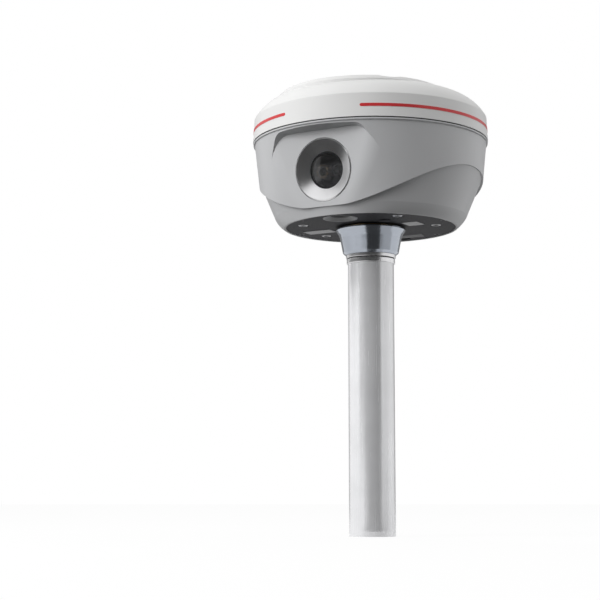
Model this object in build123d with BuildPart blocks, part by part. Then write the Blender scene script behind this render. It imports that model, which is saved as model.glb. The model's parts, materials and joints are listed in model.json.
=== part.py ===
# Satellite survey receiver head on a short pole, in millimetres.
# +Z is up, the front window faces -Y, and the origin is the centre of the
# threaded socket's mouth at the pole's lower end.
import os
from math import asin, atan2, cos, degrees, radians, sin

from build123d import *

os.makedirs("parts", exist_ok=True)

# Fits
bond = 0.05          # radial gap of glued and pressed round fits
run = 0.3            # gap between pieces that move past each other
seat_gap = 0.25      # edge gap of a flat piece lying in a pocket
thread_play = 0.06   # radial play of the pole thread
screw_play = 0.15    # radial gap of a screw in a clearance hole

# Pole thread, 5/8 inch 11 turns to the inch, at its major diameter
thread_r = 7.9375
socket_depth = 16.0
stud_reach = 13.0
stud_seat = 20.0
stud_tip_chamfer = 1.0

# Pole tube and lower socket
pole_r = 15.0
pole_wall = 1.6
tube_len = 180.0
socket_flange = 2.0
socket_len = 24.0

# Collar on top of the pole
collar_h = 17.0
collar_spigot = 24.0
collar_flange_r = 22.8
collar_flange_t = 0.8
collar_flare_h = 3.6
collar_flare_round = 8.0
collar_neck_r = 20.4
collar_low_r = 18.3
collar_foot_r = 16.6
collar_foot_h = 1.6
upper_ring_wall = 1.3
upper_ring_h = 2.2
ring_seal_wall = 0.45
ring_seal_h = 0.6
lower_ring_wall = 0.8
lower_ring_h = 3.0
ring_round = 0.3

# Washer and thread insert under the head
washer_t = 0.8
washer_r = 16.0
insert_flange_r = 17.0
insert_proud = 0.7
insert_r = 10.5
insert_len = 18.0
insert_bore = 14.0
insert_nut_r = 15.0
insert_nut_h = 4.0

# Housing, heights from the bottom rim
head_r = 77.4        # widest, at the seam
wall = 2.8
panel_recess = 0.5
seam_h = 55.8
lip_in = 0.2
lip_h = 1.1
lip_step = 0.9
lip_round = 0.4
wall_h = 55.2
side_in = 3.1
front_in = 15.8
rim_in = 19.4
rim_w = 1.2
taper_out = 6.0
taper_h = 5.4
taper_rate = 0.415
taper_soft = 1.2
taper_flat = 2.9
ledge_w = 6.0
ledge_t = 3.0

# Grip recess: an arch seen from the side, longer to the rear, over a low band all round
arch_front_r = 70.0
arch_rear_r = 140.0
arch_h = 33.0
arch_mid_y = -4.6
band_h = 4.4

# Front face under the brow
face_in = 13.5
face_tilt = 5.5
face_blend = 20.0
front_wall = 4.0
brow_h = 52.6
brow_rise = 0.09
brow_half = 26.0
brow_splay = 0.7
brow_leg_slope = 1.0
brow_round = 14.0

# Front window assembly, depths from the front face
lens_h = 28.0
bezel_r = 19.8
bezel_proud = 0.4
bezel_flange_t = 2.4
bezel_edge = 0.4
bezel_seal_t = 0.5
bezel_rim = 0.6
bezel_neck_r = 16.4
bezel_cone_depth = 4.6
throat_r = 11.8
window_lip = 0.6
window_r = 12.5
window_t = 2.0
retainer_t = 2.0
retainer_bore_r = 10.5
bezel_nut_r = 18.4
bezel_nut_t = 3.0
nut_room = 0.6
optics_gap = 0.8
optics_half = 5.2
laser_r = 4.2
laser_len = 21.0
laser_lens_r = 2.8
camera_r = 4.2
camera_barrel = 9.0
camera_body = 11.0
camera_body_t = 7.0
camera_lens_r = 3.2
optics_lens_t = 1.1
optics_lens_set = 0.3
bracket_half = 16.0
bracket_t = 2.5
bracket_top = 9.0
bracket_foot_w = 4.5
bracket_foot_y = 10.0
bracket_screw_y = 5.5
bracket_room = 1.0
small_head_r = 1.9
small_head_h = 1.3
small_shank_r = 1.0
small_bite = 2.5

# Base plate and gasket
plate_t = 4.0
gasket_t = 0.8
gasket_in = 0.7
base_screw_in = 3.1
base_screw_az = 30.0
base_head_r = 2.2
base_head_h = 1.6
base_shank_r = 1.25
base_bite = 2.4

# Tie screws and the stack that they clamp
tie_front_r = 45.0
tie_front_az = 50.0
tie_rear_r = 43.2
tie_rear_az = 108.0
tie_head_r = 3.5
tie_head_h = 2.2
tie_shank_r = 2.0
tie_bite = 10.0
spacer_r = 4.2
board_h = 40.0
board_t = 1.6
board_r = 55.0
board_front_y = 36.0
deck_h = 50.0
deck_t = 2.0
deck_r = 56.0

# Radome, heights from the bottom rim
dome_wall = 3.0
dome_gasket_t = 0.7
dome_gasket_set = 0.6
band_draft = 0.7
crease_drop = 16.7
crease_round = 1.2
shoulder_in = 9.5
shoulder_drop = 6.7
foot_in = 24.7
foot_drop = 2.8
dome_drop = 1.0
crown_y = -9.3
crown_in = 19.7
crown_flank = 2.7
crown_edge_drop = 1.6
crown_h = 88.2
crown_round = 1.5
boss_r = 3.6
flute_r = 30.0
flute_depth = 0.8
flute_start_r = 28.0
flute_az = 40.0

# Antenna
antenna_lift = 4.0
antenna_r = 38.0
antenna_t = 1.6
antenna_post_r = 33.0
antenna_post_wall = 1.6
antenna_screw_r = 1.25
antenna_head_r = 2.2
antenna_head_h = 1.5
element_r = 26.0
element_h = 7.4
feed_r = 1.0
feed_x = 6.0
feed_y = -10.0
feed_room = 1.0

# Modules on the main board
module_y = 14.0
positioning_x = -14.0
positioning_w = 34.0
positioning_d = 28.0
radio_x = 18.0
radio_w = 22.0
radio_d = 26.0
can_h = 3.5
can_round = 0.8

# Battery on its tray
battery_w = 60.0
battery_d = 26.0
battery_h = 23.0
battery_round = 3.0
battery_y = 31.0
tray_lift = 5.5
tray_t = 1.5
tray_wall = 1.2
tray_lip = 6.0
tray_leg_x = 25.0
tray_leg_d = 18.0

# Lower camera in the base plate
down_y = -41.0
down_r = 11.0
down_mouth_r = 10.3
down_throat_r = 5.2
down_cone = 2.6
down_proud = 0.3
down_glass_r = 6.2
down_glass_t = 1.0
down_body = 13.0
down_body_h = 10.0
down_lens_r = 4.2
down_lens_h = 0.8

# Port cover and the sockets behind it
port_y = 42.0
port_w = 38.0
port_d = 12.0
port_narrow = 3.0
port_pocket = 2.1
port_t = 1.8
hinge_set = 1.8
hinge_h = 1.1
hinge_r = 1.4
hinge_pin_r = 0.75
hinge_pin_bite = 1.8
thumb_r = 5.0
port_board_lift = 2.5
port_board_t = 1.5
port_board_w = 29.0
port_board_d = 9.0
port_post_r = 1.6
port_post_x = 12.6
usb_x = -6.0
usb_w = 9.0
usb_d = 3.4
card_x = 5.0
card_w = 9.6
card_d = 2.8
socket_wall = 0.35
socket_cup = 3.4
tongue_t = 0.7
tongue_gap = 0.8

# Control panel on the sloping rear wall
panel_h = 30.0
panel_w = 40.0
panel_d = 18.0
panel_corner = 5.0
panel_pocket = 3.2
panel_t = 1.5
pad_wall = 2.2
pad_margin = 3.0
button_x = -9.0
button_r = 5.0
button_cap = 1.3
button_travel = 0.8
button_stop = 0.3
button_stem_r = 2.0
button_seal_r = 3.6
button_seal_t = 1.2
switch_side = 6.0
switch_h = 3.5
control_t = 1.2
control_margin = 1.5
control_gap = 1.1
post_r = 2.4
post_inset = 2.8
light_r = 1.15
light_x = 3.0
light_step = 4.5
light_count = 3

# Small pieces on the base plate
label_t = 0.3
label_left = (-36.0, -4.5)
label_left_size = (20.0, 10.5)
label_right = (31.4, -1.0)
label_right_size = (10.5, 12.0)
beeper_x = -28.0
beeper_y = 2.0
beeper_r = 6.0
beeper_h = 4.5
vent_x = 21.0
vent_y = -20.0
vent_head_r = 3.6
vent_head_t = 0.6
vent_r = 2.4
vent_reach = 1.2

# Levels worked out from the sizes above
tube_z = socket_flange
collar_z = tube_z + tube_len
collar_top = collar_z + collar_h
insert_z = collar_top + washer_t
plate_z = insert_z + insert_proud
plate_top = plate_z + plate_t
rim_z = plate_z - panel_recess
ledge_z = plate_top + gasket_t
ledge_top = ledge_z + ledge_t
seam_z = rim_z + seam_h
dome_z = seam_z + dome_gasket_t
board_z = rim_z + board_h
board_top = board_z + board_t
deck_z = rim_z + deck_h
deck_top = deck_z + deck_t
antenna_z = deck_top + antenna_lift
antenna_top = antenna_z + antenna_t
lens_z = rim_z + lens_h
pole_bore_r = pole_r - pole_wall
thread_bore_r = thread_r + thread_play
lip_r = head_r - lip_in
top_r = lip_r - lip_step
side_r = top_r - side_in
front_r = top_r - front_in
face_r = top_r - face_in
cavity_top_r = top_r - wall
rim_r = top_r - rim_in
recess_r = rim_r - rim_w
taper_r = rim_r + taper_out
ledge_in_r = recess_r - ledge_w
base_screw_r = recess_r - base_screw_in
band_top_r = head_r - band_draft
shoulder_r = band_top_r - shoulder_in
foot_r = band_top_r - foot_in
crown_r = band_top_r - crown_in
crown_edge_h = crown_h - crown_edge_drop
dome_h = crown_h - dome_drop
foot_h = crown_h - foot_drop
shoulder_h = crown_h - shoulder_drop
crease_h = crown_h - crease_drop
tie_hole_r = tie_shank_r + screw_play
tie_head_z = plate_z + tie_head_h
tray_z = plate_top + tray_lift

# Depths of the front window assembly, outwards from the front face
cone_back = bezel_proud - bezel_cone_depth
flange_back = bezel_proud - bezel_flange_t
window_front = cone_back - window_lip
window_back = window_front - window_t
retainer_back = window_back - retainer_t
optics_front = retainer_back - optics_gap
bracket_back = optics_front - camera_barrel

# Heights of the control panel assembly, outwards from the rear wall
panel_top = panel_t - panel_pocket
pad_back = -panel_pocket - pad_wall
button_foot = button_travel + button_stop - panel_pocket
stem_end = pad_back - button_travel
control_z = stem_end - control_gap - switch_h

# Hinge and sockets of the port cover
hinge_y = port_y - port_d / 2 + hinge_set
hinge_z = plate_z + hinge_h
socket_y = port_y + hinge_r / 2
port_board_z = plate_top + port_board_lift


def at(radius, azimuth):
    """Point at a radius, with the azimuth in degrees from the front towards +X."""
    return (radius * sin(radians(azimuth)), -radius * cos(radians(azimuth)))


tie_points = [at(tie_front_r, side * tie_front_az) for side in (-1, 1)]
tie_points += [at(tie_rear_r, side * tie_rear_az) for side in (-1, 1)]
base_points = [at(base_screw_r, base_screw_az + 60 * i) for i in range(6)]
antenna_points = [at(antenna_post_r, 45 + 90 * i) for i in range(4)]


def save(builder, name):
    builder.part.label = name
    export_step(builder.part, f"parts/{name}.step")


def ring(outer_r, inner_r, bottom, height, points=((0, 0),)):
    """Plain round rings, standing at each point."""
    with BuildPart() as body:
        with BuildSketch(Plane.XY.offset(bottom)):
            with Locations(*points):
                Circle(outer_r)
                Circle(inner_r, mode=Mode.SUBTRACT)
        extrude(amount=height)
    return body


def screws(points, head_z, head_r, head_h, shank_r, shank_len):
    """Screws whose heads begin at head_z. A negative head and shank point down."""
    with BuildPart() as body:
        with BuildSketch(Plane.XY.offset(head_z)):
            with Locations(*points):
                Circle(head_r)
        extrude(amount=head_h)
        with BuildSketch(Plane.XY.offset(head_z + head_h)):
            with Locations(*points):
                Circle(shank_r)
        extrude(amount=shank_len)
    return body


# Planes of the front window and of the rear control panel, both facing outwards
front = Plane(
    origin=(0, -face_r, lens_z),
    x_dir=(1, 0, 0),
    z_dir=(0, -cos(radians(face_tilt)), -sin(radians(face_tilt))),
)
front_section = Plane(origin=front.origin, x_dir=front.z_dir, z_dir=(1, 0, 0))
lens_axis = Axis(front.origin, front.z_dir)
rear_tilt = atan2(top_r - front_r, wall_h)
rear_y = front_r + (top_r - front_r) * panel_h / wall_h
rear = Plane(
    origin=(0, rear_y, rim_z + panel_h),
    x_dir=(-1, 0, 0),
    z_dir=(0, cos(rear_tilt), -sin(rear_tilt)),
)


def housing_form(inset):
    """Sculpted form of the housing, drawn in by inset for the cavity."""
    reach = 2 * top_r
    soft_low = (taper_h - taper_soft / 2, taper_r - taper_soft / 2)
    soft_high = (taper_h + taper_soft, taper_r + taper_soft * taper_rate)
    flank_top = (soft_high[0] + wall_h, soft_high[1] + taper_rate * wall_h)
    with BuildPart() as taper:
        with BuildSketch(Plane.XY.offset(rim_z)):
            Circle(rim_r - inset)
        for height, radius in (soft_low, soft_high):
            with BuildSketch(Plane.XY.offset(rim_z + height)):
                Ellipse(radius - inset, radius - taper_flat - inset)
        loft()
        for height, radius in (soft_high, flank_top):
            with BuildSketch(Plane.XY.offset(rim_z + height)):
                Ellipse(radius - inset, radius - taper_flat - inset)
        loft()
    with BuildPart() as grip:
        with BuildSketch(Plane.YZ):
            top = rim_z + arch_h + inset
            low = top - 2 * arch_rear_r
            with BuildLine():
                fore = CenterArc((arch_mid_y, top - arch_front_r), arch_front_r, 90, 90)
                aft = CenterArc((arch_mid_y, top - arch_rear_r), arch_rear_r, 0, 90)
                Polyline(fore @ 1, ((fore @ 1).X, low), ((aft @ 0).X, low), aft @ 0)
            make_face()
            with Locations((0, rim_z + band_h + inset)):
                Rectangle(2 * reach, reach, align=(Align.CENTER, Align.MAX))
        extrude(amount=reach, both=True)
        add(taper.part, mode=Mode.SUBTRACT)
    with BuildPart() as brow:
        for out in (-2 * front_wall, face_in + wall):
            half = brow_half + brow_splay * out
            top = brow_h + inset + brow_rise * out
            section = Plane(origin=(0, -face_r - out, rim_z), x_dir=(1, 0, 0), z_dir=(0, -1, 0))
            with BuildSketch(section) as outline:
                Polygon(
                    (-half - reach, top - reach * brow_leg_slope),
                    (-half, top),
                    (half, top),
                    (half + reach, top - reach * brow_leg_slope),
                    align=None,
                )
                fillet(outline.vertices().sort_by(Axis.Y)[-2:], radius=brow_round)
        loft()
        with BuildSketch(front.offset(-front_wall if inset else 0)):
            Rectangle(4 * reach, 4 * reach)
        extrude(amount=-reach, mode=Mode.SUBTRACT)
    with BuildPart() as form:
        with BuildSketch(Plane.XY.offset(rim_z)):
            Ellipse(side_r - inset, front_r - inset)
        with BuildSketch(Plane.XY.offset(rim_z + wall_h)):
            Circle(top_r - inset)
        loft()
        add(brow.part, mode=Mode.SUBTRACT)
        if not inset:
            face = form.faces().filter_by(lambda f: f.normal_at().dot(front.z_dir) > cos(radians(1)))
            sides = face.edges().filter_by(lambda e: band_h < (e @ 0.5).Z - rim_z < lens_h + bezel_r / 2)
            fillet(sides, radius=face_blend)
        add(grip.part, mode=Mode.SUBTRACT)
    return form.part


# Cavity of the housing, above the ledge, keeping the pad behind the control panel
with BuildPart() as cavity:
    add(housing_form(wall))
    with BuildSketch(Plane.XY.offset(rim_z + wall_h)):
        Circle(cavity_top_r)
    extrude(amount=lip_h + wall)
    split(bisect_by=Plane.XY.offset(ledge_top), keep=Keep.TOP)
    with BuildSketch(rear.offset(pad_back)):
        RectangleRounded(panel_w + 2 * pad_margin, panel_d + 2 * pad_margin, panel_corner)
    extrude(amount=top_r, mode=Mode.SUBTRACT)

post_points = [(-panel_w / 2 + post_inset, 0), (panel_w / 2 - post_inset, 0)]
light_points = [(light_x + light_step * i, 0) for i in range(light_count)]

with BuildPart() as main_housing:
    add(housing_form(0))
    with BuildSketch(Plane.XZ) as lip:
        with Locations((0, seam_z)):
            Rectangle(lip_r, lip_h, align=(Align.MIN, Align.MAX))
        lip_edge = (lip_r, seam_z - lip_h)
        fillet(lip.vertices().sort_by_distance(lip_edge)[0], radius=lip_round)
    revolve(axis=Axis.Z)
    add(cavity.part, mode=Mode.SUBTRACT)
    with BuildSketch(Plane.XY.offset(rim_z)):
        Circle(recess_r)
    extrude(amount=ledge_z - rim_z, mode=Mode.SUBTRACT)
    with BuildSketch(Plane.XY.offset(ledge_z)):
        Circle(ledge_in_r)
        with Locations(*base_points):
            Circle(base_shank_r + bond)
    extrude(amount=ledge_t, mode=Mode.SUBTRACT)
    with BuildSketch(front.offset(-bezel_seal_t - bezel_flange_t + bezel_proud)):
        Circle(bezel_r + seat_gap)
    extrude(amount=face_r, mode=Mode.SUBTRACT)
    with BuildSketch(front):
        Circle(bezel_neck_r + screw_play)
    extrude(amount=-2 * front_wall, mode=Mode.SUBTRACT)
    with BuildSketch(front.offset(-front_wall)):
        Circle(bezel_nut_r + nut_room)
    extrude(amount=-3 * bezel_nut_t, mode=Mode.SUBTRACT)
    with BuildSketch(rear.offset(-panel_pocket)):
        RectangleRounded(panel_w, panel_d, panel_corner)
    extrude(amount=top_r, mode=Mode.SUBTRACT)
    with BuildSketch(rear.offset(pad_back)):
        with Locations(*post_points):
            Circle(post_r)
    extrude(amount=control_z - pad_back)
    with BuildSketch(rear.offset(control_z)):
        with Locations(*post_points):
            Circle(small_shank_r + bond)
    extrude(amount=small_bite, mode=Mode.SUBTRACT)
    with BuildSketch(rear.offset(-panel_pocket)):
        with Locations((button_x, 0)):
            Circle(button_stem_r + run)
        with Locations(*light_points):
            Circle(light_r + bond)
    extrude(amount=-2 * pad_wall, mode=Mode.SUBTRACT)
    with BuildSketch(rear.offset(-panel_pocket)):
        with Locations((button_x, 0)):
            Circle(button_seal_r + bond)
    extrude(amount=-button_seal_t, mode=Mode.SUBTRACT)
save(main_housing, "main_housing")


def cap(edge_r, edge_z, top_z, inset):
    """Shallow round cap over an edge, drawn in by inset."""
    rise = top_z - edge_z
    cap_r = (edge_r**2 + rise**2) / (2 * rise)
    reach = degrees(asin((edge_r - inset) / (cap_r - inset)))
    return CenterArc((0, top_z - cap_r), cap_r - inset, 90 - reach, reach)


def dome_section(inset):
    """Half section of the radome without its crown, drawn in by inset."""
    band_top = (band_top_r - inset, rim_z + crease_h - inset)
    with BuildSketch(Plane.XZ) as section:
        with BuildLine():
            Polyline((0, dome_z), (head_r - inset, dome_z), band_top)
            top = cap(foot_r, rim_z + foot_h, rim_z + dome_h, inset)
            ThreePointArc(band_top, (shoulder_r - inset, rim_z + shoulder_h - inset), top @ 0)
            Line(top @ 1, (0, dome_z))
        make_face()
        fillet(section.vertices().sort_by(Axis.Y)[2:3], radius=crease_round)
    return section.sketch


def crown_section():
    """Half section of the raised crown, about its own axis."""
    edge_z = rim_z + crown_edge_h
    with BuildSketch(Plane.XZ.offset(-crown_y)) as section:
        with BuildLine():
            top = cap(crown_r - crown_flank, edge_z, rim_z + crown_h, 0)
            Polyline(
                (0, rim_z + crease_h),
                (crown_r, rim_z + crease_h),
                (crown_r, edge_z - crown_flank),
                top @ 0,
            )
            Line(top @ 1, (0, rim_z + crease_h))
        make_face()
        fillet(section.vertices().sort_by(Axis.Y)[-2:-1], radius=crown_round)
    return section.sketch


# Shallow flutes that fall outwards over the edge of the crown
flute_top = rim_z + crown_h - (crown_h - crown_edge_h) * (flute_start_r / crown_r) ** 2
flute_fall = atan2(flute_top - rim_z - crown_edge_h + flute_depth, crown_r - flute_start_r)


def flute_plane(azimuth):
    out = Vector(*at(1, azimuth), 0)
    axis = out * cos(flute_fall) - Vector(0, 0, sin(flute_fall))
    lift = out * sin(flute_fall) + Vector(0, 0, cos(flute_fall))
    return Plane(origin=out * flute_start_r + Vector(0, 0, flute_top) + lift * flute_r, z_dir=axis)


with BuildPart() as radome:
    revolve(dome_section(0), axis=Axis.Z)
    revolve(crown_section(), axis=Axis((0, crown_y, 0), (0, 0, 1)))
    for azimuth in (-flute_az, flute_az):
        with BuildSketch(flute_plane(azimuth)):
            Circle(flute_r)
        extrude(amount=crown_r - crown_y, mode=Mode.SUBTRACT)
    revolve(dome_section(dome_wall), axis=Axis.Z, mode=Mode.SUBTRACT)
    with BuildSketch(Plane.XY.offset(deck_top)):
        with Locations(*tie_points):
            Circle(boss_r)
    extrude(amount=rim_z + foot_h - dome_wall / 3 - deck_top)
    with BuildSketch(Plane.XY.offset(deck_top)):
        with Locations(*tie_points):
            Circle(tie_shank_r + bond)
    extrude(amount=tie_bite, mode=Mode.SUBTRACT)
save(radome, "radome")

radome_gasket = ring(head_r - dome_gasket_set, head_r - dome_wall, seam_z, dome_gasket_t)
save(radome_gasket, "radome_gasket")

# Base plate: the dark underside, with everything that opens downwards
usb_slot = (usb_w + 2 * seat_gap, usb_d + 2 * seat_gap)
card_slot = (card_w + 2 * seat_gap, card_d + 2 * seat_gap)
port_points = [(-port_post_x, socket_y), (port_post_x, socket_y)]
bracket_x = bracket_half - bracket_foot_w / 2
bracket_y = -face_r - bracket_back
bracket_points = [(side * bracket_x, bracket_y + bracket_screw_y) for side in (-1, 1)]


def port_outline(gap):
    """Outline of the port cover, a little narrower at its free edge."""
    half = port_w / 2 - gap
    Polygon(
        (-half, port_y - port_d / 2 + gap),
        (half, port_y - port_d / 2 + gap),
        (half - port_narrow, port_y + port_d / 2 - gap),
        (-half + port_narrow, port_y + port_d / 2 - gap),
        align=None,
    )


with BuildPart() as base_plate:
    with BuildSketch(Plane.XY.offset(plate_z)):
        Circle(recess_r - seat_gap)
    extrude(amount=plate_t)
    with BuildSketch(Plane.XY.offset(plate_top)):
        with Locations(*port_points):
            Circle(port_post_r)
    extrude(amount=port_board_lift)
    with BuildSketch(Plane.XY.offset(plate_z)):
        Circle(insert_r + bond)
        with Locations((0, down_y)):
            Circle(down_r + bond)
        with Locations((vent_x, vent_y)):
            Circle(vent_r + bond)
        with Locations(*tie_points):
            Circle(tie_hole_r)
        with Locations(*base_points):
            Circle(base_shank_r + screw_play)
        with Locations((usb_x, socket_y)):
            Rectangle(*usb_slot)
        with Locations((card_x, socket_y)):
            Rectangle(*card_slot)
    extrude(amount=plate_t, mode=Mode.SUBTRACT)
    with BuildSketch(Plane.XY.offset(plate_z)):
        with Locations(*tie_points):
            Circle(tie_head_r + seat_gap)
    extrude(amount=tie_head_h, mode=Mode.SUBTRACT)
    with BuildSketch(Plane.XY.offset(plate_z)):
        with Locations(*base_points):
            Circle(base_head_r + screw_play)
    extrude(amount=base_head_h, mode=Mode.SUBTRACT)
    with BuildSketch(Plane.XY.offset(plate_z)):
        with Locations((0, port_y + port_d / 2)):
            Circle(thumb_r)
            Rectangle(2 * thumb_r, 2 * thumb_r, align=(Align.CENTER, Align.MAX), mode=Mode.SUBTRACT)
        port_outline(0)
    extrude(amount=port_pocket, mode=Mode.SUBTRACT)
    with BuildSketch(Plane.YZ):
        with Locations((hinge_y, hinge_z)):
            Circle(hinge_r + run)
    extrude(amount=port_w / 2, both=True, mode=Mode.SUBTRACT)
    with BuildSketch(Plane.YZ):
        with Locations((hinge_y, hinge_z)):
            Circle(hinge_pin_r + bond)
    extrude(amount=port_w / 2 + hinge_pin_bite, both=True, mode=Mode.SUBTRACT)
    with BuildSketch(Plane.XY.offset(plate_top)):
        with Locations(*bracket_points):
            Circle(small_shank_r + bond)
    extrude(amount=-small_bite, mode=Mode.SUBTRACT)
save(base_plate, "base_plate")

with BuildPart() as base_gasket:
    with BuildSketch(Plane.XY.offset(plate_top)):
        Circle(recess_r - seat_gap)
        Circle(ledge_in_r + gasket_in, mode=Mode.SUBTRACT)
        with Locations(*base_points):
            Circle(base_shank_r + screw_play, mode=Mode.SUBTRACT)
    extrude(amount=gasket_t)
save(base_gasket, "base_gasket")

base_reach = plate_t - base_head_h + gasket_t + base_bite
base_screws = screws(base_points, plate_z, base_head_r, base_head_h, base_shank_r, base_reach)
save(base_screws, "base_screws")

# Stack of boards between the base plate and the radome
tie_len = deck_top - tie_head_z + tie_bite - run
tie_screws = screws(tie_points, plate_z, tie_head_r, tie_head_h, tie_shank_r, tie_len)
save(tie_screws, "tie_screws")
lower_spacers = ring(spacer_r, tie_hole_r, plate_top, board_z - plate_top, tie_points)
save(lower_spacers, "lower_spacers")
upper_spacers = ring(spacer_r, tie_hole_r, board_top, deck_z - board_top, tie_points)
save(upper_spacers, "upper_spacers")

with BuildPart() as main_board:
    with BuildSketch(Plane.XY.offset(board_z)):
        Circle(board_r)
        with Locations((0, -board_front_y)):
            Rectangle(2 * board_r, board_r, align=(Align.CENTER, Align.MAX), mode=Mode.SUBTRACT)
        with Locations(*tie_points):
            Circle(tie_hole_r, mode=Mode.SUBTRACT)
    extrude(amount=board_t)
save(main_board, "main_board")


def shield_can(x, width, depth):
    """Soldered metal can on the main board."""
    with BuildPart() as can:
        with BuildSketch(Plane.XY.offset(board_top)):
            with Locations((x, module_y)):
                RectangleRounded(width, depth, can_round)
        extrude(amount=can_h)
    return can


positioning_module = shield_can(positioning_x, positioning_w, positioning_d)
save(positioning_module, "positioning_module")
radio_module = shield_can(radio_x, radio_w, radio_d)
save(radio_module, "radio_module")

with BuildPart() as antenna_plate:
    with BuildSketch(Plane.XY.offset(deck_z)):
        Circle(deck_r)
        with Locations(*tie_points):
            Circle(tie_hole_r, mode=Mode.SUBTRACT)
        with Locations(*antenna_points):
            Circle(antenna_screw_r + bond, mode=Mode.SUBTRACT)
        with Locations((feed_x, feed_y)):
            Circle(feed_r + feed_room, mode=Mode.SUBTRACT)
    extrude(amount=deck_t)
save(antenna_plate, "antenna_plate")

antenna_post_in = antenna_screw_r + screw_play
antenna_spacers = ring(
    antenna_post_in + antenna_post_wall, antenna_post_in, deck_top, antenna_lift, antenna_points
)
save(antenna_spacers, "antenna_spacers")

with BuildPart() as antenna_board:
    with BuildSketch(Plane.XY.offset(antenna_z)):
        Circle(antenna_r)
        with Locations(*antenna_points):
            Circle(antenna_screw_r + screw_play, mode=Mode.SUBTRACT)
        with Locations((feed_x, feed_y)):
            Circle(feed_r + bond, mode=Mode.SUBTRACT)
    extrude(amount=antenna_t)
save(antenna_board, "antenna_board")

antenna_shank = antenna_t + antenna_lift + deck_t
antenna_screws = screws(
    antenna_points,
    antenna_top + antenna_head_h,
    antenna_head_r,
    -antenna_head_h,
    antenna_screw_r,
    -antenna_shank,
)
save(antenna_screws, "antenna_screws")

with BuildPart() as antenna_element:
    with BuildSketch(Plane.XY.offset(antenna_top)):
        Circle(element_r)
    extrude(amount=element_h)
save(antenna_element, "antenna_element")

with BuildPart() as antenna_feed:
    with BuildSketch(Plane.XY.offset(board_top)):
        with Locations((feed_x, feed_y)):
            Circle(feed_r)
    extrude(amount=antenna_top - board_top)
save(antenna_feed, "antenna_feed")

# Battery on a bridge over the port board
tray_size = (battery_w + 2 * tray_wall, battery_d + 2 * tray_wall)
with BuildPart() as battery_tray:
    with BuildSketch(Plane.XY.offset(tray_z)):
        with Locations((0, battery_y)):
            RectangleRounded(*tray_size, battery_round + tray_wall)
    extrude(amount=tray_t + tray_lip)
    with BuildSketch(Plane.XY.offset(tray_z + tray_t)):
        with Locations((0, battery_y)):
            RectangleRounded(battery_w + 2 * bond, battery_d + 2 * bond, battery_round)
    extrude(amount=tray_lip, mode=Mode.SUBTRACT)
    with BuildSketch(Plane.XY.offset(plate_top)):
        with Locations((-tray_leg_x, battery_y - tray_wall), (tray_leg_x, battery_y - tray_wall)):
            Rectangle(tray_t, tray_leg_d)
    extrude(amount=tray_lift)
save(battery_tray, "battery_tray")

with BuildPart() as battery_pack:
    with BuildSketch(Plane.XY.offset(tray_z + tray_t)):
        with Locations((0, battery_y)):
            RectangleRounded(battery_w, battery_d, battery_round)
    extrude(amount=battery_h)
    fillet(battery_pack.faces().sort_by(Axis.Z)[-1].edges(), radius=battery_round / 2)
save(battery_pack, "battery_pack")

# Front window assembly
mouth_r = bezel_r - bezel_rim

with BuildPart() as window_bezel:
    with BuildSketch(front_section):
        Polygon(
            (bezel_proud, mouth_r),
            (bezel_proud, bezel_r - bezel_edge),
            (bezel_proud - bezel_edge, bezel_r),
            (flange_back, bezel_r),
            (flange_back, bezel_neck_r),
            (retainer_back, bezel_neck_r),
            (retainer_back, window_r + bond),
            (window_front, window_r + bond),
            (window_front, throat_r),
            (cone_back, throat_r),
            align=None,
        )
    revolve(axis=lens_axis)
save(window_bezel, "window_bezel")


def front_ring(outer_r, inner_r, outside, inside):
    """Ring on the lens axis between two depths from the front face."""
    with BuildPart() as body:
        with BuildSketch(front.offset(inside)):
            Circle(outer_r)
            Circle(inner_r, mode=Mode.SUBTRACT)
        extrude(amount=outside - inside)
    return body


bezel_seal = front_ring(bezel_r - bezel_edge, bezel_neck_r + bond, flange_back, flange_back - bezel_seal_t)
save(bezel_seal, "bezel_seal")
bezel_nut = front_ring(bezel_nut_r, bezel_neck_r + bond, -front_wall, -front_wall - bezel_nut_t)
save(bezel_nut, "bezel_nut")
window_retainer = front_ring(window_r, retainer_bore_r, window_back, retainer_back)
save(window_retainer, "window_retainer")

with BuildPart() as front_window:
    with BuildSketch(front.offset(window_back)):
        Circle(window_r)
    extrude(amount=window_t)
save(front_window, "front_window")

with BuildPart() as laser_module:
    with BuildSketch(front.offset(optics_front)):
        with Locations((-optics_half, 0)):
            Circle(laser_r)
    extrude(amount=-laser_len)
    with BuildSketch(front.offset(optics_front)):
        with Locations((-optics_half, 0)):
            Circle(laser_lens_r + bond)
    extrude(amount=-optics_lens_t - optics_lens_set, mode=Mode.SUBTRACT)
save(laser_module, "laser_module")

with BuildPart() as front_camera:
    with BuildSketch(front.offset(optics_front)):
        with Locations((optics_half, 0)):
            Circle(camera_r)
    extrude(amount=-camera_barrel)
    with BuildSketch(front.offset(optics_front - camera_barrel)):
        with Locations((optics_half, 0)):
            RectangleRounded(camera_body, camera_body, can_round)
    extrude(amount=-camera_body_t)
    with BuildSketch(front.offset(optics_front)):
        with Locations((optics_half, 0)):
            Circle(camera_lens_r + bond)
    extrude(amount=-optics_lens_t - optics_lens_set, mode=Mode.SUBTRACT)
save(front_camera, "front_camera")


def optics_lens(x, radius):
    """Lens in the end of the laser or camera barrel, bulging forwards."""
    with BuildPart() as lens:
        with BuildSketch(front.offset(optics_front - optics_lens_set - optics_lens_t)):
            with Locations((x, 0)):
                Circle(radius)
        extrude(amount=optics_lens_t)
        rim = lens.edges().filter_by(GeomType.CIRCLE).sort_by(Axis.Y)[:1]
        fillet(rim, radius=optics_lens_t / 2)
    return lens


laser_lens = optics_lens(-optics_half, laser_lens_r)
save(laser_lens, "laser_lens")
front_camera_lens = optics_lens(optics_half, camera_lens_r)
save(front_camera_lens, "front_camera_lens")

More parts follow.
